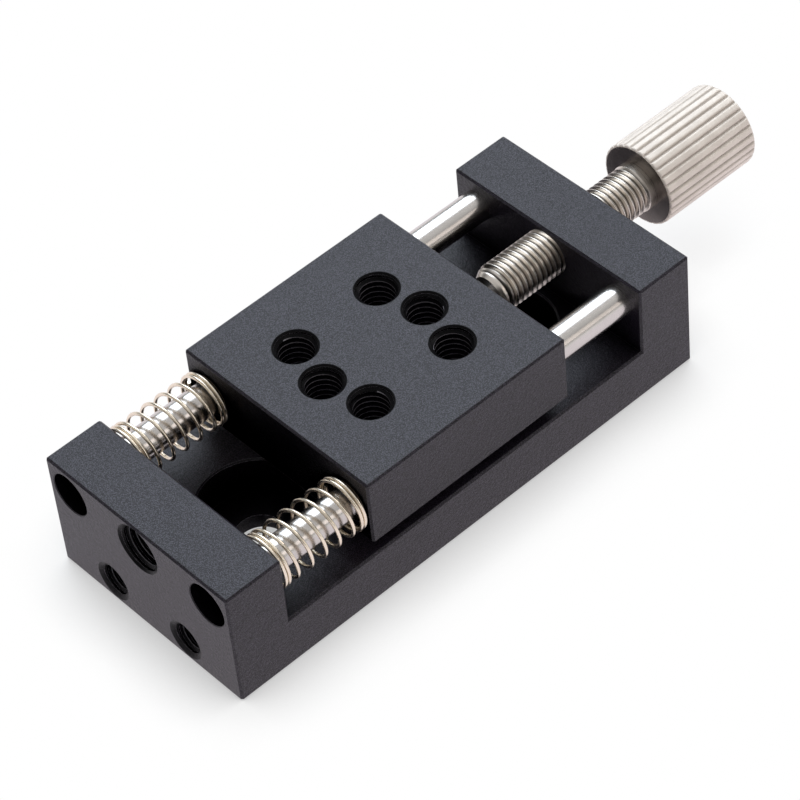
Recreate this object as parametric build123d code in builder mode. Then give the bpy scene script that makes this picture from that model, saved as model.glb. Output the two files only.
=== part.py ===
from build123d import *
import os

# Manual linear stage. A carriage runs on two ground rods between the end walls of a milled base.
# Two compression springs push it towards +X, against a fine-pitch thumbscrew in the rear wall.
# Lengths are in millimetres. +X runs along the travel towards the knob, +Z is up, and the origin
# is the centre of the base's underside. Left is +Y and right is -Y.

# Base block
base_length = 69.6
base_width = 30.0
floor_height = 7.0
wall_height = 16.6
front_wall = 7.8
rear_wall = 7.9
edge_chamfer = 0.25

# Carriage
carriage_length = 29.8
carriage_width = 30.0
carriage_height = 9.2
carriage_lift = 1.8
front_gap = 12.5

# Height of the rods and the feed screw above the underside
axis_height = 13.15

# Guide rods, held in both walls and locked by grub screws from below
rod_radius = 2.0
rod_inset = 3.6
rod_end_chamfer = 0.3
rod_recess_radius = 2.75
rod_recess_depth = 3.2
rod_recess_chamfer = 0.1
lock_screw_radius = 1.5
lock_screw_length = 4.0
lock_screw_chamfer = 0.25
hex_key_across_flats = 1.5
hex_key_depth = 1.6

# Plain bushes in the carriage, one at each end of each rod's bore
bush_radius = 2.75
bush_length = 6.0
bush_inset = 0.3
rod_bore_radius = 2.3

# Return springs round the rods, with closed coils at both ends. The thin wire has six flats.
wire_radius = 0.22
wire_sides = 6
coil_radius = 3.3
closed_turns = 2
open_turns = 5
closed_pitch = 0.5

# Feed screw, metric M6 with a fine pitch, and its slim hardened nose
thread_radius = 3.0
tip_radius = 2.25
tip_taper = 1.25
tip_gap = 2.3
nose_radius = 1.0
nose_dome = 0.4
nose_socket_depth = 3.0
thrust_pad_radius = 2.5
thrust_pad_thickness = 1.5

# Thumb knob
knob_gap = 7.0
knob_length = 14.3
knob_radius = 5.4
knob_chamfer = 0.3
knob_bore_depth = 10.0
flute_count = 30
flute_width = 0.45
flute_depth = 0.2

# Tapped holes, cut at the thread's outer radius, with countersunk mouths
mouth_angle = 90
table_tap_radius = 2.5
table_tap_mouth = 2.75
table_square_spacing = 12.3
table_line_spacing = 15.4
end_tap_radius = 2.0
end_tap_mouth = 2.6
end_mouth_angle = 120
end_tap_spacing = 12.2
end_tap_height = 3.0
end_tap_depth = 7.0
stop_tap_radius = 3.0
stop_tap_mouth = 3.3

# Counterbored mounting holes in the floor
mount_hole_radius = 3.0
mount_bore_radius = 6.9
mount_bore_depth = 5.0
mount_spacing = 37.4
mount_rim_chamfer = 0.2

# Fits, as gaps on the radius or between faces
running_clearance = 0.03
seat_clearance = 0.01
contact_gap = 0.02
spring_seat_gap = 0.05

# Places that follow from the sizes
front_face = -base_length / 2
rear_face = base_length / 2
front_wall_inner = front_face + front_wall
rear_wall_inner = rear_face - rear_wall
carriage_front = front_wall_inner + front_gap
carriage_rear = carriage_front + carriage_length
carriage_centre = (carriage_front + carriage_rear) / 2
carriage_bottom = floor_height + carriage_lift
carriage_top = carriage_bottom + carriage_height
bush_pocket_depth = bush_inset + bush_length + contact_gap
rod_offset = base_width / 2 - rod_inset
rod_start = front_face + rod_recess_depth
rod_end = rear_face - rod_recess_depth
screw_tip = carriage_rear + tip_gap
knob_front = rear_face + knob_gap
knob_rear = knob_front + knob_length
screw_end = knob_front + knob_bore_depth - contact_gap

front_plane = Plane(origin=(front_face, 0, 0), x_dir=(0, -1, 0), z_dir=(-1, 0, 0))
rear_plane = Plane(origin=(rear_face, 0, 0), x_dir=(0, 1, 0), z_dir=(1, 0, 0))
floor_plane = Plane.XY.offset(floor_height)
table_plane = Plane(origin=(carriage_centre, 0, carriage_top))
screw_axis = Axis((0, 0, axis_height), (1, 0, 0))
SIDES = {"left": 1, "right": -1}
lock_places = {
    "front": (front_wall_inner + rod_start) / 2,
    "rear": (rear_wall_inner + rod_end) / 2,
}

pieces = {}


# Base block: a U-shaped milled bar with counterbored floor holes and drilled end walls
with BuildPart() as base_block:
    with BuildSketch(Plane.XZ):
        with BuildLine():
            Polyline(
                (front_face, 0),
                (rear_face, 0),
                (rear_face, wall_height),
                (rear_wall_inner, wall_height),
                (rear_wall_inner, floor_height),
                (front_wall_inner, floor_height),
                (front_wall_inner, wall_height),
                (front_face, wall_height),
                close=True,
            )
        make_face()
    extrude(amount=base_width / 2, both=True)
    floor_corners = base_block.edges().filter_by(Axis.Y).filter_by(
        lambda edge: abs(edge.center().Z - floor_height) < edge_chamfer
    )
    chamfer(base_block.edges() - floor_corners, edge_chamfer)

    # Screw holes for mounting the stage, reached from above
    with Locations(floor_plane):
        with GridLocations(mount_spacing, 1, 2, 1):
            CounterBoreHole(mount_hole_radius, mount_bore_radius, mount_bore_depth)
    mount_rims = base_block.edges().filter_by(GeomType.CIRCLE).filter_by(
        lambda edge: abs(edge.radius - mount_bore_radius) < seat_clearance
    )
    chamfer(mount_rims.group_by(Axis.Z)[-1], mount_rim_chamfer)

    # Recessed rod seats in both walls
    for plane, wall in ((front_plane, front_wall), (rear_plane, rear_wall)):
        with Locations(plane):
            with Locations((-rod_offset, axis_height), (rod_offset, axis_height)):
                CounterBoreHole(
                    rod_radius + seat_clearance, rod_recess_radius, rod_recess_depth, wall
                )
    recess_mouths = base_block.edges().filter_by(GeomType.CIRCLE).filter_by(
        lambda edge: abs(edge.radius - rod_recess_radius) < seat_clearance
    ).group_by(Axis.X)
    chamfer(recess_mouths[0] + recess_mouths[-1], rod_recess_chamfer)

    # Lock screw holes up to the rods
    with BuildSketch(Plane.XY):
        for lock_x in lock_places.values():
            with Locations((lock_x, -rod_offset), (lock_x, rod_offset)):
                Circle(lock_screw_radius + seat_clearance)
    extrude(amount=axis_height, mode=Mode.SUBTRACT)

    # Feed screw hole in the rear wall and the stop screw hole in the front wall
    with Locations(rear_plane):
        with Locations((0, axis_height)):
            Hole(thread_radius + running_clearance, rear_wall)
    with Locations(front_plane):
        with Locations((0, axis_height)):
            CounterSinkHole(stop_tap_radius, stop_tap_mouth, front_wall, mouth_angle)

    # Pair of tapped holes low in the front face
    with Locations(front_plane):
        with Locations((-end_tap_spacing / 2, end_tap_height), (end_tap_spacing / 2, end_tap_height)):
            CounterSinkHole(end_tap_radius, end_tap_mouth, end_tap_depth, end_mouth_angle)
pieces["base_block"] = base_block.part


# Carriage block: the table with six tapped holes, bored for the bushes and the thrust pad
with BuildPart() as carriage_block:
    with BuildSketch(Plane.XY.offset(carriage_bottom)):
        with Locations((carriage_centre, 0)):
            Rectangle(carriage_length, carriage_width)
    extrude(amount=carriage_height)
    chamfer(carriage_block.edges(), edge_chamfer)
    with Locations(table_plane):
        with GridLocations(table_square_spacing, table_square_spacing, 2, 2):
            CounterSinkHole(table_tap_radius, table_tap_mouth, carriage_height, mouth_angle)
        with GridLocations(table_line_spacing, 1, 2, 1):
            CounterSinkHole(table_tap_radius, table_tap_mouth, carriage_height, mouth_angle)

    # Rod bores, wider at both ends for the bushes
    with BuildSketch(Plane.YZ.offset(carriage_front)):
        with Locations((-rod_offset, axis_height), (rod_offset, axis_height)):
            Circle(rod_bore_radius)
    extrude(amount=carriage_length, mode=Mode.SUBTRACT)
    for pocket_start in (carriage_front, carriage_rear - bush_pocket_depth):
        with BuildSketch(Plane.YZ.offset(pocket_start)):
            with Locations((-rod_offset, axis_height), (rod_offset, axis_height)):
                Circle(bush_radius + seat_clearance)
        extrude(amount=bush_pocket_depth, mode=Mode.SUBTRACT)

    # Recess for the thrust pad
    with BuildSketch(Plane.YZ.offset(carriage_rear)):
        with Locations((0, axis_height)):
            Circle(thrust_pad_radius + seat_clearance)
    extrude(amount=-(thrust_pad_thickness + seat_clearance), mode=Mode.SUBTRACT)
pieces["carriage_block"] = carriage_block.part


def make_guide_rod(side):
    """A ground rod that reaches from one wall's seat to the other's."""
    with BuildPart() as guide_rod:
        with BuildSketch(Plane.YZ.offset(rod_start)):
            with Locations((side * rod_offset, axis_height)):
                Circle(rod_radius)
        extrude(amount=rod_end - rod_start)
        chamfer(guide_rod.edges().filter_by(GeomType.CIRCLE), rod_end_chamfer)
    return guide_rod.part


def make_lock_screw(place, side):
    """A grub screw below a rod, with a hexagon socket that faces down."""
    top = axis_height - rod_radius - contact_gap
    with BuildPart() as lock_screw:
        with BuildSketch(Plane.XY.offset(top - lock_screw_length)):
            with Locations((place, side * rod_offset)):
                Circle(lock_screw_radius)
        extrude(amount=lock_screw_length)
        chamfer(lock_screw.edges().filter_by(GeomType.CIRCLE), lock_screw_chamfer)
        with BuildSketch(Plane.XY.offset(top - lock_screw_length)):
            with Locations((place, side * rod_offset)):
                RegularPolygon(hex_key_across_flats / 2, 6, major_radius=False)
        extrude(amount=hex_key_depth, mode=Mode.SUBTRACT)
    return lock_screw.part


def make_bush(start, side):
    """A plain sleeve that is pressed into the carriage and slides on a rod."""
    with BuildPart() as bush:
        with BuildSketch(Plane.YZ.offset(start)):
            with Locations((side * rod_offset, axis_height)):
                Circle(bush_radius)
                Circle(rod_radius + running_clearance, mode=Mode.SUBTRACT)
        extrude(amount=bush_length)
    return bush.part


def make_spring(side):
    """A compression spring: closed coils, open coils and closed coils again."""
    closed_height = closed_turns * closed_pitch
    start = front_wall_inner + spring_seat_gap + wire_radius
    end = carriage_front - spring_seat_gap - wire_radius
    open_height = end - start - 2 * closed_height
    stretches = (
        (start, closed_pitch, closed_height),
        (start + closed_height, open_height / open_turns, open_height),
        (end - closed_height, closed_pitch, closed_height),
    )
    with BuildPart() as spring:
        with BuildLine() as route:
            for place, pitch, height in stretches:
                Helix(
                    pitch,
                    height,
                    coil_radius,
                    center=(place, side * rod_offset, axis_height),
                    direction=(1, 0, 0),
                )
        with BuildSketch(Plane(origin=route.wire() @ 0, z_dir=route.wire() % 0)):
            RegularPolygon(wire_radius, wire_sides)
        sweep(path=route.wire(), is_frenet=True)
    return spring.part


for side_name, side in SIDES.items():
    pieces[f"guide_rod_{side_name}"] = make_guide_rod(side)
    pieces[f"return_spring_{side_name}"] = make_spring(side)
    for end_name, place in lock_places.items():
        pieces[f"rod_lock_screw_{end_name}_{side_name}"] = make_lock_screw(place, side)
    pieces[f"slide_bush_front_{side_name}"] = make_bush(carriage_front + bush_inset, side)
    pieces[f"slide_bush_rear_{side_name}"] = make_bush(carriage_rear - bush_inset - bush_length, side)


# Thrust pad: a hardened disc, flush with the carriage's rear face
with BuildPart() as thrust_pad:
    with BuildSketch(Plane.YZ.offset(carriage_rear - thrust_pad_thickness)):
        with Locations((0, axis_height)):
            Circle(thrust_pad_radius)
    extrude(amount=thrust_pad_thickness)
pieces["thrust_pad"] = thrust_pad.part


# Feed screw: a threaded bar with a tapered end, drilled for its nose
with BuildPart() as feed_screw:
    with BuildSketch(Plane.XZ):
        with BuildLine():
            Polyline(
                (screw_tip, axis_height),
                (screw_tip, axis_height + tip_radius),
                (screw_tip + tip_taper, axis_height + thread_radius),
                (screw_end, axis_height + thread_radius),
                (screw_end, axis_height),
                close=True,
            )
        make_face()
    revolve(axis=screw_axis)
    with BuildSketch(Plane.YZ.offset(screw_tip)):
        with Locations((0, axis_height)):
            Circle(nose_radius + seat_clearance)
    extrude(amount=nose_socket_depth, mode=Mode.SUBTRACT)
pieces["feed_screw"] = feed_screw.part


# Tip pin: the domed nose that bears on the thrust pad
with BuildPart() as tip_pin:
    nose_tip = carriage_rear + contact_gap
    nose_base = screw_tip + nose_socket_depth - contact_gap
    with BuildSketch(Plane.XZ):
        with BuildLine():
            TangentArc(
                (nose_tip, axis_height),
                (nose_tip + nose_dome, axis_height + nose_radius),
                tangent=(0, 1),
            )
            Polyline(
                (nose_tip + nose_dome, axis_height + nose_radius),
                (nose_base, axis_height + nose_radius),
                (nose_base, axis_height),
                (nose_tip, axis_height),
            )
        make_face()
    revolve(axis=screw_axis)
pieces["tip_pin"] = tip_pin.part


# Thumb knob: a barrel with straight V flutes, bored for the screw
with BuildPart() as thumb_knob:
    with BuildSketch(Plane.YZ.offset(knob_front)):
        with Locations((0, axis_height)):
            Circle(knob_radius)
            with PolarLocations(knob_radius, flute_count):
                Polygon(
                    (-flute_depth, 0),
                    (flute_depth, -flute_width),
                    (flute_depth, flute_width),
                    align=None,
                    mode=Mode.SUBTRACT,
                )
    extrude(amount=knob_length)
    with BuildSketch(Plane.XZ):
        with BuildLine():
            Polyline(
                (knob_front, axis_height),
                (knob_front, axis_height + knob_radius - knob_chamfer),
                (knob_front + knob_chamfer, axis_height + knob_radius),
                (knob_rear - knob_chamfer, axis_height + knob_radius),
                (knob_rear, axis_height + knob_radius - knob_chamfer),
                (knob_rear, axis_height),
                close=True,
            )
        make_face()
    revolve(axis=screw_axis, mode=Mode.INTERSECT)
    with BuildSketch(Plane.YZ.offset(knob_front)):
        with Locations((0, axis_height)):
            Circle(thread_radius + seat_clearance)
    extrude(amount=knob_bore_depth, mode=Mode.SUBTRACT)
pieces["thumb_knob"] = thumb_knob.part


os.makedirs("parts", exist_ok=True)
for piece_name, piece in pieces.items():
    piece.label = piece_name
    export_step(piece, f"parts/{piece_name}.step")
    print(piece_name, round(piece.volume, 2), piece.is_valid)
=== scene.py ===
"""Dresses a manual linear stage: threads, springs, feed screw, finishes, light and camera.

Lengths are in metres unless a name ends in _mm, and colours are in linear light. +X runs along the
travel towards the knob, +Z is up, and the origin is the centre of the base's underside. Left is +Y
and right is -Y.
"""

import logging
import math
from dataclasses import dataclass
from enum import Enum
from typing import Iterable, Sequence

import bpy
from mathutils import Matrix, Vector


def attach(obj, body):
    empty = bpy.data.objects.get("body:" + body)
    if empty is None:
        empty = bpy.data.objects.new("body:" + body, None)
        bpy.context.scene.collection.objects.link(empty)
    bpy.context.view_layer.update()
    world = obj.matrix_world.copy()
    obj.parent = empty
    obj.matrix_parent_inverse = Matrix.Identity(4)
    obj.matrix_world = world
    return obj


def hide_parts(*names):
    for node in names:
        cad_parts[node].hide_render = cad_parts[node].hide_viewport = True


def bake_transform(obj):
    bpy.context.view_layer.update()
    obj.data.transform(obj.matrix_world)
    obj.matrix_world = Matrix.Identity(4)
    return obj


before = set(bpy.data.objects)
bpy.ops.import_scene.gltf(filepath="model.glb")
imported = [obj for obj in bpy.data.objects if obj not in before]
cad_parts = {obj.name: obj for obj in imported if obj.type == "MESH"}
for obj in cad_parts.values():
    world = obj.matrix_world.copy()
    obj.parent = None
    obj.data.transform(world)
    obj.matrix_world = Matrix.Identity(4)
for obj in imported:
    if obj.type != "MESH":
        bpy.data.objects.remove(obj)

MM = 0.001
TURN = 2.0 * math.pi
AXIS_HEIGHT = 13.15 * MM  # of the rods and the screw
FORWARD = Vector((1.0, 0.0, 0.0))
LEFTWARDS = Vector((0.0, 1.0, 0.0))
DOWN = Vector((0.0, 0.0, -1.0))
WHITE = (1.0, 1.0, 1.0)
EVEN = (1.0, 1.0, 1.0)
FULL = (0.0, 1.0)
MOST_NOISE = (0.3, 0.7)  # where most of a noise's values lie
MIX_FIRST, MIX_SECOND, MIX_RESULT = 6, 7, 2  # the Mix node's colour sockets
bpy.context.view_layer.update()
LOG = logging.getLogger("stage")

Point = Sequence[float]
Pair = tuple[float, float]
Span = tuple[float, float]
Ring = list[int]
Socket = bpy.types.NodeSocket


class Slot(Enum):
    """The material slots."""

    ANODISED = "black_anodised"
    GROUND = "ground_steel"
    WIRE = "spring_wire"
    HARDENED = "hardened_steel"
    STAINLESS = "stainless_steel"
    KNOB = "knob_steel"
    OXIDE = "black_oxide"
    BRONZE = "bearing_bronze"


class Side(Enum):
    """The side of the travel that a paired piece is on, as the sign of its Y."""

    LEFT = 1
    RIGHT = -1

    @property
    def word(self) -> str:
        """The side's name as the pieces' names have it."""
        return self.name.lower()


class Gender(Enum):
    """Whether a thread stands on a rod or in a hole."""

    EXTERNAL = "external"
    INTERNAL = "internal"


class NodeBoard:
    """A node tree, with short calls to fill it."""

    def __init__(self, tree: bpy.types.NodeTree) -> None:
        """Takes the tree to fill."""
        self.tree = tree

    def link(self, source: Socket, target: Socket) -> None:
        """Joins two sockets."""
        self.tree.links.new(source, target)

    def add(self, kind: str, **settings: object) -> bpy.types.Node:
        """Adds a node.

        Args:
            kind: The node's type, without the ShaderNode prefix.
            **settings: The node's properties.

        Returns:
            The new node.
        """
        node = self.tree.nodes.new("ShaderNode" + kind)
        for key, value in settings.items():
            setattr(node, key, value)
        return node

    def combine(self, operation: str, first: Socket, second: Socket) -> Socket:
        """Combines two values.

        Args:
            operation: The Math node's operation.
            first: One value.
            second: The other value.

        Returns:
            The result.
        """
        node = self.add("Math", operation=operation)
        self.link(first, node.inputs[0])
        self.link(second, node.inputs[1])
        return node.outputs["Value"]

    def span(self, value: Socket, source: Span, target: Span) -> Socket:
        """Maps a value from one range to another and holds it there.

        Args:
            value: The value to map.
            source: The range that it comes from.
            target: The range that it goes to.

        Returns:
            The mapped value.
        """
        node = self.add("MapRange")
        self.link(value, node.inputs["Value"])
        for name, number in zip(("From Min", "From Max", "To Min", "To Max"), source + target):
            node.inputs[name].default_value = number
        return node.outputs["Result"]

    def rays(self, *kinds: str) -> Socket:
        """Finds rays of the given kinds.

        Args:
            *kinds: The kinds, as the Light Path node's outputs have them.

        Returns:
            A value that is 1 for these rays and 0 for the others.
        """
        path = self.add("LightPath")
        found = path.outputs[kinds[0]]
        for kind in kinds[1:]:
            found = self.combine("MAXIMUM", found, path.outputs[kind])
        return found


class NodeSheet(NodeBoard):
    """One material's node tree."""

    bevel_samples: int = 4
    hollow_shade_samples: int = 6
    edge_range: Span = (0.995, 0.93)
    hollow_shade_range: Span = (0.92, 0.5)

    def __init__(self, name: str) -> None:
        """Starts an empty tree with a principled shader.

        Args:
            name: The material's name.
        """
        self.material = bpy.data.materials.new(name)
        self.material.use_nodes = True
        super().__init__(self.material.node_tree)
        self.tree.nodes.clear()
        self.output = self.add("OutputMaterial")
        self.shader = self.add("BsdfPrincipled")
        self.link(self.shader.outputs["BSDF"], self.output.inputs["Surface"])

    def feed(self, **values: Socket | float) -> None:
        """Feeds the shader.

        Args:
            **values: Its sockets' names, with _ for a space, and a number or another node's socket
                for each.
        """
        for key, value in values.items():
            target = self.shader.inputs[key.replace("_", " ")]
            if isinstance(value, Socket):
                self.link(value, target)
            else:
                target.default_value = value

    def coordinates(self, stretch: Point = EVEN) -> Socket:
        """Gives the piece's own coordinates in millimetres.

        Args:
            stretch: How many pattern units one millimetre has along X, Y and Z.

        Returns:
            The vector socket.
        """
        scale = self.add("VectorMath", operation="MULTIPLY")
        self.link(self.add("TexCoord").outputs["Object"], scale.inputs[0])
        scale.inputs[1].default_value = [factor / MM for factor in stretch]
        return scale.outputs[0]

    def noise(self, vector: Socket, scale: float, form: Pair) -> Socket:
        """Adds a noise texture.

        Args:
            vector: The coordinates to sample at.
            scale: The noise's frequency in those coordinates.
            form: How many finer layers it has, and how strong they are.

        Returns:
            The noise value, about 0.5 on average.
        """
        node = self.add("TexNoise")
        self.link(vector, node.inputs["Vector"])
        node.inputs["Scale"].default_value = scale
        node.inputs["Detail"].default_value, node.inputs["Roughness"].default_value = form
        return node.outputs["Fac"]

    def blend(self, factor: Socket, first: Point | Socket, second: Point) -> Socket:
        """Mixes two colours.

        Args:
            factor: How much of the second colour shows.
            first: The first colour, or the socket that gives it.
            second: The second colour.

        Returns:
            The mixed colour.
        """
        node = self.add("Mix", data_type="RGBA")
        self.link(factor, node.inputs["Factor"])
        if isinstance(first, Socket):
            self.link(first, node.inputs[MIX_FIRST])
        else:
            node.inputs[MIX_FIRST].default_value = (*first, 1.0)
        node.inputs[MIX_SECOND].default_value = (*second, 1.0)
        return node.outputs[MIX_RESULT]

    def rounded_normal(self, radius_mm: float) -> Socket:
        """Gives a normal that turns smoothly over sharp edges.

        Args:
            radius_mm: How far from the edge it turns.

        Returns:
            The normal.
        """
        node = self.add("Bevel", samples=self.bevel_samples)
        node.inputs["Radius"].default_value = radius_mm * MM
        return node.outputs["Normal"]

    def bump(self, height: Socket, depth_mm: float, normal: Socket | None = None) -> Socket:
        """Turns a height into a normal.

        Args:
            height: The height, from 0 to 1.
            depth_mm: The depth that a height of 1 stands for.
            normal: The normal to start from, if it isn't the surface's own.

        Returns:
            The normal.
        """
        node = self.add("Bump")
        node.inputs["Strength"].default_value = 1.0
        node.inputs["Distance"].default_value = depth_mm * MM
        self.link(height, node.inputs["Height"])
        if normal is not None:
            self.link(normal, node.inputs["Normal"])
        return node.outputs["Normal"]

    def edge_share(self, rounded: Socket) -> Socket:
        """Finds the edges, where the rounded normal leaves the face's own.

        Args:
            rounded: The rounded normal.

        Returns:
            A value from 0 on the faces to 1 on the edges.
        """
        product = self.add("VectorMath", operation="DOT_PRODUCT")
        self.link(rounded, product.inputs[0])
        self.link(self.add("NewGeometry").outputs["Normal"], product.inputs[1])
        return self.span(product.outputs["Value"], self.edge_range, FULL)

    def openness(self, reach: float, samples: int, own: bool = False) -> Socket:
        """Finds how open the room in front of a face is.

        Args:
            reach: How far away a wall still counts.
            samples: How many rays look for walls.
            own: Whether only the piece's own walls count.

        Returns:
            A value from 1 in the open down to 0 between close walls.
        """
        node = self.add("AmbientOcclusion", samples=samples, only_local=own)
        node.inputs["Distance"].default_value = reach
        return node.outputs["AO"]

    def hollow_shade(self, reach_mm: float, share: float, own: bool = True) -> Socket:
        """Gives the share of painted shade, from 0 in the open to a share in hollows, such as a
        thread's valleys.
        """
        openness = self.openness(reach_mm * MM, self.hollow_shade_samples, own)
        return self.span(openness, self.hollow_shade_range, (0.0, share))


@dataclass(frozen=True)
class BlastedAnodising:
    """Bead-blasted aluminium with a black anodic coat.

    It has a fine grain on a soft swell, pale flecks, and edges paler partly from wear and partly as
    a painted highlight; hollows get painted shade that turns them black, with painted highlights on
    their edges.
    """

    name: str
    colour: Point = (0.0026, 0.0019, 0.0034)
    cloud_colour: Point = (0.0100, 0.0070, 0.0128)
    fleck_colour: Point = (0.105, 0.082, 0.132)
    hollow_shade_colour: Point = (0.0012, 0.0010, 0.0015)
    edge_colour: Point = (0.060, 0.058, 0.064)
    bare_colour: Point = (0.46, 0.43, 0.48)
    clouds_per_grain: float = 0.9
    cloud_form: Pair = (2.0, 0.7)
    flecks_per_grain: float = 1.35
    fleck_range: Span = (0.55, 0.15)
    fleck_share: float = 0.55
    hollow_shade_mm: float = 15.0
    hollow_shade_share: float = 0.95
    hollow_shade_gloss: float = 0.03
    hollow_shade_black: float = 1.0
    shade_black_from: float = 0.6
    own_hollows: bool = True
    grain_mm: float = 0.17
    grain_depth_mm: float = 0.045
    grain_form: Pair = (3.0, 0.62)
    swell_mm: float = 0.42
    swell_depth_mm: float = 0.060
    swell_form: Pair = (2.0, 0.6)
    edge_mm: float = 0.07
    wear_and_highlight_range: Span = (0.35, 0.62)
    wear_and_highlight: Span = (0.15, 0.9)
    roughness: Span = (0.32, 0.46)
    dull_gloss: float = 0.50
    gloss: float = 0.56
    refraction: float = 1.5

    def build(self) -> bpy.types.Material:
        """Builds the material.

        Returns:
            The material.
        """
        sheet = NodeSheet(self.name)
        place = sheet.coordinates()
        grain = sheet.noise(place, 1.0 / self.grain_mm, self.grain_form)
        cloud = sheet.noise(place, self.clouds_per_grain / self.grain_mm, self.cloud_form)
        swell = sheet.noise(place, 1.0 / self.swell_mm, self.swell_form)
        flecks = sheet.add("TexVoronoi", feature="F1")
        sheet.link(place, flecks.inputs["Vector"])
        flecks.inputs["Scale"].default_value = self.flecks_per_grain / self.grain_mm
        flecks.inputs["Randomness"].default_value = 1.0
        fleck = sheet.span(flecks.outputs["Distance"], self.fleck_range, (0.0, self.fleck_share))
        rounded = sheet.rounded_normal(self.edge_mm)
        # Painted shade: where walls stand close, the colour darkens, the gloss tint dulls and,
        # deepest in, the coat turns fully metallic so that it renders black.
        hollow_shade = sheet.hollow_shade(self.hollow_shade_mm, self.hollow_shade_share, self.own_hollows)
        # Edges turn paler and glossier, partly as wear and partly as a painted highlight.
        edge_wear_and_highlight = sheet.combine("MULTIPLY", sheet.edge_share(rounded),
                             sheet.span(grain, self.wear_and_highlight_range, self.wear_and_highlight))
        # Painted highlight: edges inside hollows get a pale colour, so they show as bright lines.
        shaded_edge_highlight = sheet.combine("MULTIPLY", edge_wear_and_highlight, hollow_shade)
        colour = sheet.blend(sheet.span(cloud, MOST_NOISE, FULL), self.colour, self.cloud_colour)
        # Colour layers: random clouds and flecks, painted shade in hollows, edges paler from wear
        # and a painted highlight, and painted highlights on edges inside hollows.
        for share, shade in ((fleck, self.fleck_colour), (hollow_shade, self.hollow_shade_colour),
                             (edge_wear_and_highlight, self.edge_colour), (shaded_edge_highlight, self.bare_colour)):
            colour = sheet.blend(share, colour, shade)
        sparkle = sheet.blend(sheet.span(fleck, (0.0, self.fleck_share), FULL),
                              (self.dull_gloss,) * 3, WHITE)
        sparkle = sheet.blend(hollow_shade, sparkle, (self.hollow_shade_gloss,) * 3)
        sparkle = sheet.blend(edge_wear_and_highlight, sparkle, WHITE)
        # Painted shade: the deepest hollows go fully metallic over a near-black colour, so they
        # reflect almost nothing.
        deep_shade = (self.shade_black_from * self.hollow_shade_share, self.hollow_shade_share)
        soft = sheet.bump(swell, self.swell_depth_mm, rounded)
        sheet.feed(
            Base_Color=colour,
            Metallic=sheet.span(hollow_shade, deep_shade, (0.0, self.hollow_shade_black)),
            Roughness=sheet.span(grain, MOST_NOISE, self.roughness),
            Specular_IOR_Level=self.gloss,
            Specular_Tint=sparkle,
            IOR=self.refraction,
            Normal=sheet.bump(grain, self.grain_depth_mm, soft),
        )
        return sheet.material


@dataclass(frozen=True)
class BareMetal:
    """Bare metal with stains, painted shade in its hollows and a fine relief that its kinds give.
    """

    name: str
    colour: Point
    stain: Point
    roughness: Span
    stain_scale: float = 0.45
    stain_form: Pair = (3.0, 0.6)
    stain_range: Span = (0.35, 0.75)
    stain_share: float = 0.8
    crease_shade: float = 0.0
    crease_shade_reach_mm: float = 0.35
    crease_shade_colour: Point = (0.034, 0.026, 0.022)
    depth_mm: float = 0.0006
    edge_mm: float = 0.0
    metallic: float = 1.0

    def relief(self, sheet: NodeSheet) -> Socket:
        """Gives the height of the fine relief, about 0.5 on average, from the material's nodes."""
        raise NotImplementedError

    def build(self) -> bpy.types.Material:
        """Builds the material.

        Returns:
            The material.
        """
        sheet = NodeSheet(self.name)
        relief = self.relief(sheet)
        cloud = sheet.noise(sheet.coordinates(), self.stain_scale, self.stain_form)
        stained = sheet.span(cloud, self.stain_range, (0.0, self.stain_share))
        colour = sheet.blend(stained, self.colour, self.stain)
        # Painted shade: hollows such as thread valleys and flutes get a darker colour.
        if self.crease_shade:
            crease_shaded = sheet.hollow_shade(self.crease_shade_reach_mm, self.crease_shade)
            colour = sheet.blend(crease_shaded, colour, self.crease_shade_colour)
        rounded = sheet.rounded_normal(self.edge_mm) if self.edge_mm else None
        sheet.feed(
            Base_Color=colour,
            Metallic=self.metallic,
            Roughness=sheet.span(relief, MOST_NOISE, self.roughness),
            Normal=sheet.bump(relief, self.depth_mm, rounded),
        )
        return sheet.material


@dataclass(frozen=True)
class TurnedMetal(BareMetal):
    """Bare metal that was ground or turned about the X axis, with fine lines round it."""

    lines_per_mm: float = 14.0
    waves_per_mm: float = 0.35
    line_form: Pair = (2.0, 0.55)

    def relief(self, sheet: NodeSheet) -> Socket:
        """Gives the height of the lines."""
        stretch = (self.lines_per_mm, self.waves_per_mm, self.waves_per_mm)
        return sheet.noise(sheet.coordinates(stretch), 1.0, self.line_form)


@dataclass(frozen=True)
class SatinMetal(BareMetal):
    """Bare metal with a fine, even, matt grain and softened edges."""

    stain_scale: float = 0.5
    stain_form: Pair = (3.0, 0.55)
    stain_range: Span = (0.3, 0.72)
    stain_share: float = 1.0
    crease_shade_colour: Point = (0.20, 0.165, 0.135)
    depth_mm: float = 0.004
    edge_mm: float = 0.06
    grain_mm: float = 0.09
    grain_form: Pair = (2.0, 0.6)

    def relief(self, sheet: NodeSheet) -> Socket:
        """Gives the height of the grain."""
        return sheet.noise(sheet.coordinates(), 1.0 / self.grain_mm, self.grain_form)


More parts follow.
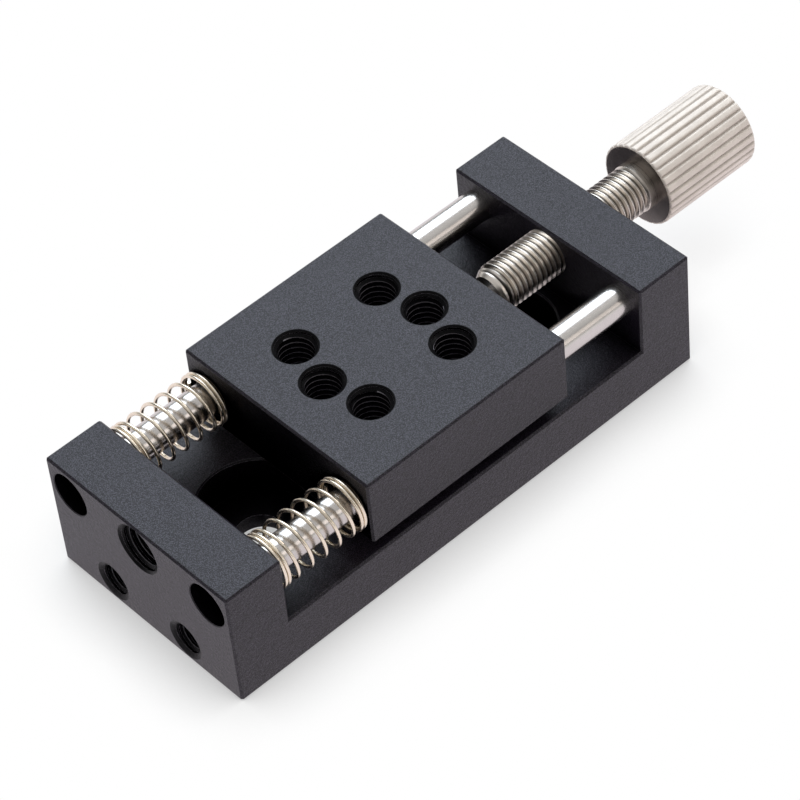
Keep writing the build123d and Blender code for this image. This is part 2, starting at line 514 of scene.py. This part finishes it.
class Finishes:
    """The stage's finishes, each built once and looked up by its slot."""

    def __init__(self) -> None:
        """Builds every finish."""
        recipes = {
            Slot.ANODISED: BlastedAnodising("black_anodised_blasted"),
            Slot.GROUND: TurnedMetal(
                "ground_steel_polished", (0.67, 0.635, 0.605), (0.61, 0.58, 0.55), (0.21, 0.24),
                lines_per_mm=7.0, depth_mm=0.00005),
            Slot.WIRE: TurnedMetal(
                "spring_wire_drawn", (0.95, 0.85, 0.70), (0.82, 0.72, 0.58), (0.22, 0.30),
                lines_per_mm=9.0, depth_mm=0.0008),
            Slot.HARDENED: TurnedMetal(
                "hardened_steel_ground", (0.45, 0.45, 0.46), (0.38, 0.38, 0.40), (0.20, 0.32)),
            # The screw's thread valleys and the knob's flutes carry painted shade.
            Slot.STAINLESS: TurnedMetal(
                "stainless_steel_rolled", (0.76, 0.705, 0.64), (0.68, 0.62, 0.555), (0.26, 0.34),
                lines_per_mm=6.0, crease_shade=0.95, crease_shade_reach_mm=0.40, edge_mm=0.03),
            Slot.KNOB: SatinMetal(
                "knob_steel_satin", (0.89, 0.83, 0.765), (0.80, 0.74, 0.68), (0.66, 0.80),
                depth_mm=0.018, crease_shade=0.80, crease_shade_reach_mm=0.45),
            Slot.OXIDE: SatinMetal(
                "black_oxide_screw", (0.030, 0.030, 0.032), (0.045, 0.044, 0.045), (0.38, 0.52),
                metallic=0.6),
            Slot.BRONZE: SatinMetal(
                "bearing_bronze_sintered", (0.22, 0.165, 0.105), (0.15, 0.115, 0.075),
                (0.42, 0.56)),
        }
        self.materials = {slot: recipe.build() for slot, recipe in recipes.items()}
        # Painted shade: a dark copy of the knob's steel for its end faces and bore.
        self.knob_end_shade = TurnedMetal(
            "knob_steel_end_shade", (0.205, 0.182, 0.168), (0.165, 0.146, 0.134), (0.22, 0.30)).build()
        # Painted shade here also comes from nearby pieces, whose walls count too.
        self.table = BlastedAnodising(
            "black_anodised_table", own_hollows=False, hollow_shade_mm=20.0, gloss=0.575).build()
        # Painted shade: a darker, duller copy of the anodising for the tapped holes' walls.
        self.tapped = BlastedAnodising(
            "black_anodised_tapped", colour=(0.002, 0.0018, 0.0024),
            cloud_colour=(0.004, 0.0038, 0.0045), fleck_colour=(0.016, 0.015, 0.019),
            edge_colour=(0.030, 0.028, 0.033), fleck_share=0.3, own_hollows=False, hollow_shade_mm=7.0,
            grain_depth_mm=0.006, edge_mm=0.03, roughness=(0.30, 0.42), gloss=0.18).build()
        # Painted highlight: a much paler, glossier copy of the anodising for the tapped holes'
        # thread crests.
        self.crest = BlastedAnodising(
            "black_anodised_crest", colour=(0.20, 0.19, 0.215), cloud_colour=(0.42, 0.40, 0.44),
            fleck_colour=(0.60, 0.58, 0.62), edge_colour=(0.50, 0.48, 0.52), hollow_shade_mm=0.2,
            hollow_shade_share=0.3, hollow_shade_black=0.0, dull_gloss=0.8, grain_depth_mm=0.006, edge_mm=0.03,
            roughness=(0.24, 0.34), gloss=0.7).build()

    def dress(self, piece: bpy.types.Object, slot: Slot, *materials: bpy.types.Material) -> None:
        """Gives a piece its finish, the slot's own unless variants are given.

        Args:
            piece: The object to dress.
            slot: The finish.
            *materials: Variants of the finish to use instead of the slot's own.
        """
        piece.data.materials.clear()
        for material in materials or (self.materials[slot],):
            piece.data.materials.append(material)

    def dress_node(self, name: str, slot: Slot, material: bpy.types.Material | None = None) -> None:
        """Puts a finish in every material slot of a solid that stays as it is.

        Args:
            name: The solid's name.
            slot: The finish.
            material: A variant of the finish to use instead of the slot's own.
        """
        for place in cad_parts[name].material_slots:
            place.material = material or self.materials[slot]
        LOG.info("%s keeps its solid, in %s", name, slot.value)


@dataclass(frozen=True)
class Bore:
    """A straight line along X or Z, with its start and its direction."""

    start: Vector
    along: Vector

    def place(self, distance: float, radius: float = 0.0, angle: float = 0.0) -> Vector:
        """Gives a point on the line or beside it.

        Args:
            distance: How far along the line.
            radius: How far from it.
            angle: The turn about it in radians, right-handed, from the left.

        Returns:
            The point.
        """
        other = self.along.cross(LEFTWARDS)
        beside = (LEFTWARDS * math.cos(angle) + other * math.sin(angle)) * radius
        return self.start + self.along * distance + beside


class Shape:
    """Points and faces of one piece, gathered before they become an object."""

    smooth_angle: float = math.radians(35.0)

    def __init__(self) -> None:
        """Starts with nothing."""
        self.points: list[Vector] = []
        self.faces: list[tuple[int, ...]] = []

    def point(self, place: Vector) -> int:
        """Adds a point and returns its number."""
        self.points.append(place)
        return len(self.points) - 1

    def face(self, corners: Iterable[int]) -> None:
        """Adds a face, without the corners that repeat.

        Args:
            corners: The numbers of its points, in order.
        """
        kept = tuple(dict.fromkeys(corners))
        if len(kept) > 2:
            self.faces.append(kept)

    def ring(self, bore: Bore, distance: float, radii: Sequence[float]) -> Ring:
        """Adds a ring round a line, of evenly turned points with a radius each."""
        step = TURN / len(radii)
        return [self.point(bore.place(distance, radius, step * number))
                for number, radius in enumerate(radii)]

    def chain(self, rings: Sequence[Ring]) -> None:
        """Joins each ring to the next, all with equally many points.

        Args:
            rings: The rings, in order.
        """
        for first, second in zip(rings, rings[1:]):
            for index in range(len(first)):
                after = (index + 1) % len(first)
                self.face((first[index], first[after], second[after], second[index]))

    def fan(self, ring: Ring, centre: Vector) -> None:
        """Closes a ring with triangles about a centre.

        Args:
            ring: The ring.
            centre: The middle of the new surface.
        """
        middle = self.point(centre)
        for index, corner in enumerate(ring):
            self.face((middle, corner, ring[(index + 1) % len(ring)]))

    def build(self, name: str) -> bpy.types.Object:
        """Makes the object, with its normals outwards.

        Args:
            name: The piece's name.

        Returns:
            The new object.
        """
        mesh = bpy.data.meshes.new(name)
        mesh.from_pydata([tuple(point) for point in self.points], [], self.faces)
        mesh.validate()
        piece = bpy.data.objects.new(name, mesh)
        bpy.context.scene.collection.objects.link(piece)
        bpy.context.view_layer.objects.active = piece
        piece.select_set(True)
        bpy.ops.object.mode_set(mode="EDIT")
        bpy.ops.mesh.select_all(action="SELECT")
        bpy.ops.mesh.normals_make_consistent(inside=False)
        bpy.ops.object.mode_set(mode="OBJECT")
        mesh.shade_smooth()
        mesh.set_sharp_from_angle(angle=self.smooth_angle)
        piece.select_set(False)
        LOG.info("%s: %d points", name, len(self.points))
        return piece


@dataclass(frozen=True)
class Thread:
    """A right-hand thread's surface along a line.

    Its crests fade in a lead at the start, and at the end too if it has a far lead. The valleys
    end in a run-out if it has one.
    """

    gender: Gender
    pitch: float
    crest_radius: float
    root_radius: float
    length: float
    lead: float
    lead_radius: float
    far_lead: bool = True
    runout: float = 0.0
    phase: float = 0.0
    crest_share: float = 0.13
    root_share: float = 0.24
    columns: int = 72
    turns_before: int = 2
    spare_turns: int = 3

    def stations(self) -> list[Pair]:
        """Lists the section's corners and its flanks' middles as shares of the pitch and radii."""
        flank = (1.0 - self.crest_share - self.root_share) / 2.0
        middle = (self.crest_radius + self.root_radius) / 2.0
        return [
            (0.0, self.crest_radius),
            (self.crest_share, self.crest_radius),
            (self.crest_share + flank / 2.0, middle),
            (self.crest_share + flank, self.root_radius),
            (1.0 - flank, self.root_radius),
            (1.0 - flank / 2.0, middle),
        ]

    def radius_at(self, share: float) -> float:
        """Reads the section between its corners.

        Args:
            share: The place in the pitch.

        Returns:
            The radius there.
        """
        share %= 1.0
        corners = self.stations() + [(1.0, self.crest_radius)]
        for (low, before), (high, after) in zip(corners, corners[1:]):
            if share <= high:
                return before + (after - before) * (share - low) / (high - low)
        return self.crest_radius

    def limit(self, distance: float) -> float:
        """Gives the cone's radius at an end, beyond which no crest reaches.

        Args:
            distance: The distance from the line's start.

        Returns:
            The most that a radius may be on a rod, or the least in a hole.
        """
        inside = min(distance, self.length - distance) if self.far_lead else distance
        share = min(1.0, max(0.0, inside / self.lead))
        return self.lead_radius + (self.crest_radius - self.lead_radius) * share

    def trimmed(self, radius: float, distance: float) -> float:
        """Cuts a radius back to the lead's cone, and fills the valleys of the run-out.

        Args:
            radius: The radius that the section has.
            distance: The distance from the line's start.

        Returns:
            The radius that the surface gets.
        """
        edge = self.limit(distance)
        if self.gender is Gender.INTERNAL:
            return max(radius, edge)
        if self.runout:
            share = min(1.0, max(0.0, 1.0 - (self.length - distance) / self.runout))
            height = self.crest_radius - self.root_radius
            radius = max(radius, self.root_radius + height * share)
        return min(radius, edge)

    def lay(self, shape: Shape, bore: Bore) -> tuple[Ring, Ring]:
        """Lays the helical surface.

        Args:
            shape: The piece that it belongs to.
            bore: The line that it runs along.

        Returns:
            The ring at the line's start and the ring at its end.
        """
        stations = self.stations()
        per_turn = len(stations)
        rows = (math.ceil(self.length / self.pitch) + self.spare_turns) * per_turn
        numbers: dict[tuple[str, int, int], int] = {}

        def corner(row: int, column: int) -> int:
            """Numbers a point of the grid, with one point a column beyond each end.

            Args:
                row: Its place among the stations of all turns.
                column: Its place round the line.

            Returns:
                The point's number.
            """
            if column == self.columns:
                row, column = min(row + per_turn, rows - 1), 0
            share, radius = stations[row % per_turn]
            turn = column / self.columns
            turns = row // per_turn - self.turns_before + share + self.phase + turn
            distance = turns * self.pitch
            key = ("grid", row, column)
            if distance <= 0.0 or row == 0:
                key, distance = ("start", 0, column), 0.0
            elif distance >= self.length or row == rows - 1:
                key, distance = ("end", 0, column), self.length
            if key not in numbers:
                if key[0] != "grid":
                    radius = self.radius_at(distance / self.pitch - self.phase - turn)
                place = bore.place(distance, self.trimmed(radius, distance), TURN * turn)
                numbers[key] = shape.point(place)
            return numbers[key]

        for column in range(self.columns):
            for row in range(rows - 1):
                shape.face((corner(row, column), corner(row, column + 1),
                            corner(row + 1, column + 1), corner(row + 1, column)))
        start, end = ([numbers[(name, 0, column)] for column in range(self.columns)]
                      for name in ("start", "end"))
        return start, end

    def rings(self, shape: Shape, bore: Bore, sizes: Iterable[Pair]) -> list[Ring]:
        """Adds plain rings with the surface's columns, from each one's distance and radius."""
        return [shape.ring(bore, distance, [radius] * self.columns) for distance, radius in sizes]


@dataclass(frozen=True)
class HoleSize:
    """A tapped hole's sizes: its thread, whose depth starts below the mouth, and its mouth."""

    radius: float
    pitch: float
    ridge: float
    depth: float
    mouth_radius: float
    mouth_depth: float


@dataclass(frozen=True)
class TappedHole:
    """The threaded wall of a hole and its countersink, as a thin sleeve on the solid's own wall."""

    name: str
    body: str
    place: Vector
    inwards: Vector
    size: HoleSize
    phase: float = 0.0
    lead: float = 0.35 * MM
    skin: float = 0.02 * MM
    throat_skins: float = 1.5
    sink_skins: float = 2.5
    crest_share: float = 0.9

    def build(self, finishes: Finishes) -> None:
        """Makes the sleeve and lets it ride on its body.

        Args:
            finishes: The stage's finishes.
        """
        size = self.size
        valley, wall = size.radius - self.skin, size.radius + self.skin
        thread = Thread(Gender.INTERNAL, size.pitch, size.radius - size.ridge, valley, size.depth,
                        self.lead, valley, phase=self.phase)
        bore = Bore(self.place + self.inwards * size.mouth_depth, self.inwards)
        shape = Shape()
        start, end = thread.lay(shape, bore)
        rim = self.skin / 2.0 - size.mouth_depth
        around = thread.rings(shape, bore, (
            (-self.throat_skins * self.skin, valley),
            (rim, size.mouth_radius - self.sink_skins * self.skin),
            (rim, size.mouth_radius),
            (0.0, wall),
            (size.depth, wall),
        ))
        shape.chain([start, *around, end])
        piece = shape.build(self.name)
        # The hole's walls take the darker painted-shade copy; crests nearer the axis than the limit
        # take the paler painted-highlight copy.
        finishes.dress(piece, Slot.ANODISED, finishes.tapped, finishes.crest)
        limit = size.radius - self.crest_share * size.ridge
        for polygon in piece.data.polygons:
            out = polygon.center - bore.start
            polygon.material_index = int((out - bore.along * out.dot(bore.along)).length < limit)
        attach(piece, self.body)


@dataclass(frozen=True)
class CoilSpring:
    """A compression spring on one rod: closed coils at both ends and open coils between them."""

    side: Side
    rod_y: float = 11.4 * MM
    start: float = -26.73 * MM
    end: float = -14.77 * MM
    wire_radius: float = 0.22 * MM
    coil_radius: float = 3.3 * MM
    closed_turns: int = 2
    open_turns: int = 5
    closed_pitch: float = 0.5 * MM
    parts_per_turn: int = 3
    rings_per_part: int = 14
    wire_sides: int = 14
    tangent_turn: float = 0.002

    def advance(self, turn: float) -> float:
        """Gives the wire's place along the rod.

        Args:
            turn: The turn, from 0 at the wire's start.

        Returns:
            The X of the wire's middle.
        """
        closed_height = self.closed_turns * self.closed_pitch
        open_pitch = (self.end - self.start - 2.0 * closed_height) / self.open_turns
        first = min(turn, self.closed_turns)
        middle = min(max(turn - self.closed_turns, 0.0), self.open_turns)
        last = max(turn - self.closed_turns - self.open_turns, 0.0)
        return self.start + (first + last) * self.closed_pitch + middle * open_pitch

    @staticmethod
    def outwards(turn: float) -> Vector:
        """Gives the direction from the rod to the wire at a turn."""
        return Vector((0.0, math.cos(TURN * turn), math.sin(TURN * turn)))

    def wire_middle(self, turn: float) -> Vector:
        """Gives the wire's middle at a turn."""
        axis = Vector((self.advance(turn), self.side.value * self.rod_y, AXIS_HEIGHT))
        return axis + self.outwards(turn) * self.coil_radius

    def wire_piece(self, name: str, first: float, last: float) -> bpy.types.Object:
        """Makes one stretch of the wire.

        Args:
            name: The piece's name.
            first: The turn at which it starts.
            last: The turn at which it ends.

        Returns:
            The piece.
        """
        shape = Shape()
        steps = max(2, round((last - first) * self.parts_per_turn * self.rings_per_part))
        angles = [TURN * side / self.wire_sides for side in range(self.wire_sides)]
        rings = []
        for index in range(steps + 1):
            turn = first + (last - first) * index / steps
            middle = self.wire_middle(turn)
            ahead = self.wire_middle(turn + self.tangent_turn)
            tangent = (ahead - self.wire_middle(turn - self.tangent_turn)).normalized()
            across = tangent.cross(self.outwards(turn)).normalized()
            out = across.cross(tangent)
            ways = [out * math.cos(angle) + across * math.sin(angle) for angle in angles]
            rings.append([shape.point(middle + self.wire_radius * way) for way in ways])
        shape.chain(rings)
        shape.fan(rings[0], self.wire_middle(first))
        shape.fan(rings[-1], self.wire_middle(last))
        return shape.build(name)

    @staticmethod
    def share_before_smoothing(weight: float) -> float:
        """Gives the share of a run at which a smooth step reaches a weight."""
        return 0.5 - math.sin(math.asin(1.0 - 2.0 * weight) / 3.0)

    def stretch(self, piece: bpy.types.Object, first: float, last: float) -> None:
        """Bakes a stretch of open wire's place into its points; the stretch follows neither the
        base nor the carriage.

        Args:
            piece: The stretch.
            first: The turn at which it starts. Not used.
            last: The turn at which it ends. Not used.
        """
        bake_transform(piece)

    def build(self, finishes: Finishes) -> None:
        """Makes the spring's stretches and puts them in place of its solid.

        Args:
            finishes: The stage's finishes.
        """
        node = f"return_spring_{self.side.word}"
        open_end = self.closed_turns + self.open_turns
        front = self.wire_piece(f"{node}_front_coils", 0.0, self.closed_turns)
        rear = self.wire_piece(f"{node}_rear_coils", open_end, open_end + self.closed_turns)
        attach(front, "base")
        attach(rear, "carriage")
        made = [front, rear]
        for part in range(self.open_turns * self.parts_per_turn):
            first = self.closed_turns + part / self.parts_per_turn
            last = first + 1.0 / self.parts_per_turn
            piece = self.wire_piece(f"{node}_open_coil_{part + 1}", first, last)
            self.stretch(piece, first, last)
            made.append(piece)
        for piece in made:
            finishes.dress(piece, Slot.WIRE)
            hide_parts(node)


@dataclass(frozen=True)
class BaseAssembly:
    """The base block with its tapped end holes, the rods, their lock screws and the springs."""

    front_face: float = -34.8 * MM
    end_hole_spacing: float = 12.2 * MM
    end_hole_height: float = 3.0 * MM
    end_hole: HoleSize = HoleSize(
        radius=2.0 * MM, pitch=0.7 * MM, ridge=0.36 * MM, depth=6.55 * MM,
        mouth_radius=2.6 * MM, mouth_depth=0.35 * MM)
    stop_hole: HoleSize = HoleSize(
        radius=3.0 * MM, pitch=0.75 * MM, ridge=0.38 * MM, depth=7.45 * MM,
        mouth_radius=3.3 * MM, mouth_depth=0.3 * MM)

    def holes(self) -> list[TappedHole]:
        """Lists the base's tapped holes, the stop hole first."""
        places = [("stop_hole_thread", 0.0, AXIS_HEIGHT, self.stop_hole)]
        for side in Side:
            y = side.value * self.end_hole_spacing / 2.0
            places.append((f"end_hole_thread_{side.word}", y, self.end_hole_height, self.end_hole))
        return [TappedHole(name, "base", Vector((self.front_face, y, z)), FORWARD, size)
                for name, y, z, size in places]

    def build(self, finishes: Finishes) -> None:
        """Builds and dresses the assembly.

        Args:
            finishes: The stage's finishes.
        """
        finishes.dress_node("base_block", Slot.ANODISED)
        for side in Side:
            finishes.dress_node(f"guide_rod_{side.word}", Slot.GROUND)
            for end in ("front", "rear"):
                finishes.dress_node(f"rod_lock_screw_{end}_{side.word}", Slot.OXIDE)
            CoilSpring(side).build(finishes)
        for hole in self.holes():
            hole.build(finishes)


@dataclass(frozen=True)
class CarriageAssembly:
    """The table with its six tapped holes, the bushes and the thrust pad."""

    centre_x: float = 0.4 * MM
    top: float = 18.0 * MM
    square_spacing: float = 12.3 * MM
    line_spacing: float = 15.4 * MM
    hole: HoleSize = HoleSize(
        radius=2.5 * MM, pitch=0.8 * MM, ridge=0.40 * MM, depth=8.9 * MM,
        mouth_radius=2.75 * MM, mouth_depth=0.25 * MM)
    phase_step: float = 0.17

    def hole_places(self) -> list[Vector]:
        """Lists the middles of the tapped holes' mouths."""
        half, far = self.square_spacing / 2.0, self.line_spacing / 2.0
        square = [(x * half, y * half) for x in (-1, 1) for y in (-1, 1)]
        line = [(-far, 0.0), (far, 0.0)]
        return [Vector((self.centre_x + x, y, self.top)) for x, y in square + line]

    def build(self, finishes: Finishes) -> None:
        """Builds and dresses the assembly.

        Args:
            finishes: The stage's finishes.
        """
        finishes.dress_node("carriage_block", Slot.ANODISED, finishes.table)
        finishes.dress_node("thrust_pad", Slot.HARDENED)
        for side in Side:
            for end in ("front", "rear"):
                finishes.dress_node(f"slide_bush_{end}_{side.word}", Slot.BRONZE)
        for number, place in enumerate(self.hole_places(), 1):
            TappedHole(f"table_thread_{number}", "carriage", place, DOWN, self.hole,
                       self.phase_step * number).build(finishes)


@dataclass(frozen=True)
class FlutedKnob:
    """The thumb knob: a barrel with soft straight flutes, small roundings and a blind bore."""

    front: float = 41.8 * MM
    rear: float = 56.1 * MM
    radius: float = 5.4 * MM
    flutes: int = 30
    flute_depth: float = 0.23 * MM
    flute_power: float = 4.0
    columns_per_flute: int = 16
    front_rounding: float = 0.30 * MM
    rear_rounding: float = 0.45 * MM
    rounding_steps: int = 5
    flat_margin: float = 0.05 * MM
    bore_radius: float = 3.01 * MM
    bore_depth: float = 10.0 * MM

    def ridge(self, column: int) -> float:
        """Gives the barrel's radius at a column, high on the ridges and low in the flutes."""
        groove = 0.5 - 0.5 * math.cos(TURN * column / self.columns_per_flute)
        return self.radius - self.flute_depth * groove ** self.flute_power

    def rounded_end(self, rounding: float) -> list[Pair]:
        """Lists a rounded end's rings, from the face outwards, as distances from it and radii."""
        turns = [TURN / 4.0 * step / self.rounding_steps for step in range(self.rounding_steps + 1)]
        return [(rounding * (1.0 - math.cos(turn)), self.radius - rounding * (1.0 - math.sin(turn)))
                for turn in turns]

    def build(self, finishes: Finishes) -> None:
        """Makes the knob and puts it in place of its solid.

        Args:
            finishes: The stage's finishes.
        """
        bore = Bore(Vector((self.front, 0.0, AXIS_HEIGHT)), FORWARD)
        length = self.rear - self.front
        flat_radius = self.radius - max(self.flute_depth, self.front_rounding) - self.flat_margin
        inside = [(self.bore_depth, self.bore_radius), (0.0, self.bore_radius), (0.0, flat_radius)]
        front = self.rounded_end(self.front_rounding)
        rear = [(length - x, limit) for x, limit in self.rounded_end(self.rear_rounding)]
        ridges = [self.ridge(column) for column in range(self.flutes * self.columns_per_flute)]
        shape = Shape()
        rings = [shape.ring(bore, x, [min(ridge, limit) for ridge in ridges])
                 for x, limit in inside + front + rear[::-1]]
        barrel = len(inside)
        shape.fan(rings[0], bore.place(self.bore_depth))
        shape.chain(rings[:barrel + 1])
        barrel_start = len(shape.faces)
        shape.chain(rings[barrel:])
        barrel_end = len(shape.faces)
        shape.fan(rings[-1], bore.place(length))
        knob = shape.build("thumb_knob_fluted")
        # The barrel takes the satin steel; the end faces and the bore take the dark painted-shade
        # copy.
        finishes.dress(knob, Slot.KNOB, finishes.materials[Slot.KNOB], finishes.knob_end_shade)
        for polygon in knob.data.polygons:
            polygon.material_index = int(not barrel_start <= polygon.index < barrel_end)
        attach(knob, "screw")
        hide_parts("thumb_knob")


@dataclass(frozen=True)
class ScrewAssembly:
    """The feed screw with its real thread and its socket, the nose pin and the knob."""

    tip: float = 17.6 * MM
    neck_start: float = 40.75 * MM
    neck_radius: float = 2.97 * MM
    collar_start: float = 40.84 * MM
    collar_end: float = 41.79 * MM
    collar_radius: float = 3.07 * MM
    end: float = 51.78 * MM
    pitch: float = 0.75 * MM
    crest_radius: float = 3.0 * MM
    root_radius: float = 2.56 * MM
    tip_radius: float = 2.25 * MM
    tip_taper: float = 1.25 * MM
    socket_radius: float = 1.01 * MM
    socket_depth: float = 3.0 * MM
    runout: float = 0.5 * MM

    def build(self, finishes: Finishes) -> None:
        """Builds and dresses the assembly.

        Args:
            finishes: The stage's finishes.
        """
        finishes.dress_node("tip_pin", Slot.HARDENED)
        FlutedKnob().build(finishes)
        thread = Thread(Gender.EXTERNAL, self.pitch, self.crest_radius, self.root_radius,
                        self.neck_start - self.tip, self.tip_taper, self.tip_radius,
                        far_lead=False, runout=self.runout)
        bore = Bore(Vector((self.tip, 0.0, AXIS_HEIGHT)), FORWARD)
        shape = Shape()
        start, end = thread.lay(shape, bore)
        length = self.end - self.tip
        mouth, floor, *neck = thread.rings(shape, bore, (
            (0.0, self.socket_radius),
            (self.socket_depth, self.socket_radius),
            (self.collar_start - self.tip, self.collar_radius),
            (self.collar_end - self.tip, self.collar_radius),
            (self.collar_end - self.tip, self.neck_radius),
            (length, self.neck_radius),
        ))
        shape.chain([start, mouth, floor])
        shape.fan(floor, bore.place(self.socket_depth))
        shape.chain([end, *neck])
        shape.fan(neck[-1], bore.place(length))
        screw = shape.build("feed_screw_threaded")
        finishes.dress(screw, Slot.STAINLESS)
        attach(screw, "screw")
        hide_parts("feed_screw")


@dataclass(frozen=True)
class SoftBox:
    """A large soft lamp that faces the stage."""

    name: str
    place: Point
    width: float
    height: float
    power: float
    colour: Point = WHITE

    def build(self) -> None:
        """Hangs the lamp."""
        light = bpy.data.lights.new(self.name, "AREA")
        light.shape = "RECTANGLE"
        light.size = self.width
        light.size_y = self.height
        light.energy = self.power
        light.color = self.colour
        lamp = bpy.data.objects.new(self.name, light)
        bpy.context.scene.collection.objects.link(lamp)
        lamp.location = self.place
        lamp.rotation_euler = (-Vector(self.place)).to_track_quat("-Z", "Y").to_euler()


@dataclass(frozen=True)
class PhotoCamera:
    """The camera, with its angles in degrees and its place in the stage's frame."""

    azimuth: float = -38.443
    elevation: float = 46.531
    roll: float = -6.362
    lens_mm: float = 162.35
    sensor_mm: float = 36.0
    shift: Pair = (0.00045, -0.00044)
    eye: Point = (-171.08 * MM, -219.47 * MM, 302.54 * MM)
    nearest: float = 0.01
    farthest: float = 20.0

    def build(self) -> None:
        """Sets the camera up."""
        azimuth, elevation, roll = map(math.radians, (self.azimuth, self.elevation, self.roll))
        back = Vector((math.sin(azimuth) * math.cos(elevation),
                       -math.cos(azimuth) * math.cos(elevation),
                       math.sin(elevation)))
        right = Vector((0.0, 0.0, 1.0)).cross(back).normalized()
        above = back.cross(right)
        across = right * math.cos(roll) + above * math.sin(roll)
        upright = above * math.cos(roll) - right * math.sin(roll)
        data = bpy.data.cameras.new("photo_camera")
        data.lens = self.lens_mm
        data.sensor_width = self.sensor_mm
        data.shift_x, data.shift_y = self.shift
        data.clip_start, data.clip_end = self.nearest, self.farthest
        camera = bpy.data.objects.new("photo_camera", data)
        bpy.context.scene.collection.objects.link(camera)
        turn = Matrix((across, upright, back)).transposed()
        camera.matrix_world = Matrix.Translation(Vector(self.eye)) @ turn.to_4x4()
        bpy.context.scene.camera = camera


@dataclass(frozen=True)
class Studio:
    """The paper floor, the world's light and the lamps."""

    floor_size: float = 3.0
    floor_drop: float = 0.03 * MM
    floor_cells: int = 6
    paper_colour: Point = (0.95, 0.95, 0.95)
    paper_roughness: float = 0.95
    fibre_shade: float = 0.985
    fibre_scale: float = 3.0
    fibre_form: Pair = (3.0, 0.6)
    mirror_tint: Point = (1.0, 0.94, 1.0)
    mirror_range: Span = (0.10, 0.40)
    mirror_share: float = 0.80
    contact_reach: float = 11.0 * MM
    contact_samples: int = 16
    contact_range: Span = (0.45, 0.92)
    contact_share: float = 0.46
    world_strength: float = 0.42
    horizon_rise: Span = (0.03, 0.32)
    band_share: float = 0.14
    ceiling_rise: Span = (0.52, 0.70)
    ceiling_share: float = 0.62
    lamps: tuple[SoftBox, ...] = (
        SoftBox("key_lamp", (0.41, 0.59, 0.77), 0.90, 0.85, 7.9, (0.80, 0.895, 1.0)),
        SoftBox("knob_lamp", (0.95, -0.10, 0.80), 0.50, 0.50, 1.9),
        SoftBox("side_lamp", (0.30, -0.90, 0.50), 0.55, 0.40, 0.9, (1.0, 0.93, 0.88)),
        SoftBox("front_lamp", (-0.95, -0.25, 0.50), 0.45, 0.35, 0.25, (1.0, 0.93, 0.88)),
    )

    def paper_material(self) -> bpy.types.Material:
        """Builds pale paper that shows white to the camera and in gloss, but keeps its shadow.

        Returns:
            The material.
        """
        sheet = NodeSheet("paper")
        fibre = sheet.noise(sheet.coordinates(), self.fibre_scale, self.fibre_form)
        shade = [self.fibre_shade * part for part in self.paper_colour]
        sheet.feed(Base_Color=sheet.blend(fibre, self.paper_colour, shade),
                   Roughness=self.paper_roughness)
        glow = sheet.add("Emission")
        tint = sheet.blend(sheet.rays("Is Glossy Ray"), WHITE, self.mirror_tint)
        sheet.link(tint, glow.inputs["Color"])
        openness = sheet.openness(self.contact_reach, self.contact_samples)
        seen = sheet.combine(
            "MULTIPLY", sheet.rays("Is Camera Ray"),
            sheet.span(openness, self.contact_range, (self.contact_share, 1.0)))
        mirrored = sheet.combine(
            "MULTIPLY", sheet.rays("Is Glossy Ray", "Is Transmission Ray"),
            sheet.span(openness, self.mirror_range, (0.0, self.mirror_share)))
        mix = sheet.add("MixShader")
        sheet.link(sheet.combine("MAXIMUM", seen, mirrored), mix.inputs["Fac"])
        sheet.link(sheet.shader.outputs["BSDF"], mix.inputs[1])
        sheet.link(glow.outputs["Emission"], mix.inputs[2])
        sheet.link(mix.outputs["Shader"], sheet.output.inputs["Surface"])
        return sheet.material

    def build_floor(self) -> None:
        """Lays the paper just under the stage."""
        shape = Shape()
        places = [self.floor_size * (step / self.floor_cells - 0.5)
                  for step in range(self.floor_cells + 1)]
        rows = [[shape.point(Vector((x, y, -self.floor_drop))) for x in places] for y in places]
        for low, high in zip(rows, rows[1:]):
            for column in range(self.floor_cells):
                shape.face((low[column], low[column + 1], high[column + 1], high[column]))
        floor = shape.build("paper_floor")
        floor.data.materials.append(self.paper_material())

    def build_world(self) -> None:
        """Sets a surround with a white horizon, a dark band above it and a grey ceiling."""
        world = bpy.data.worlds.new("surround")
        world.use_nodes = True
        board = NodeBoard(world.node_tree)
        seen = board.rays("Is Camera Ray", "Is Glossy Ray", "Is Transmission Ray")
        direction = board.add("SeparateXYZ")
        board.link(board.add("TexCoord").outputs["Generated"], direction.inputs["Vector"])
        height = direction.outputs["Z"]
        band = board.span(height, self.horizon_rise, (1.0, self.band_share))
        ceiling = board.span(height, self.ceiling_rise, (0.0, self.ceiling_share - self.band_share))
        strength = board.combine("MULTIPLY", board.span(seen, FULL, (self.world_strength, 1.0)),
                                 board.combine("ADD", band, ceiling))
        surround = world.node_tree.nodes["Background"]
        board.link(strength, surround.inputs["Strength"])
        surround.inputs["Color"].default_value = (*WHITE, 1.0)
        bpy.context.scene.world = world

    def build(self) -> None:
        """Builds the studio."""
        self.build_floor()
        self.build_world()
        for lamp in self.lamps:
            lamp.build()
        bpy.context.scene.view_settings.view_transform = "Standard"


def main() -> None:
    """Builds the camera, the studio and the three assemblies."""
    logging.basicConfig(level=logging.INFO, format="%(message)s")
    PhotoCamera().build()
    Studio().build()
    finishes = Finishes()
    BaseAssembly().build(finishes)
    CarriageAssembly().build(finishes)
    ScrewAssembly().build(finishes)


if __name__ == "__main__":
    main()
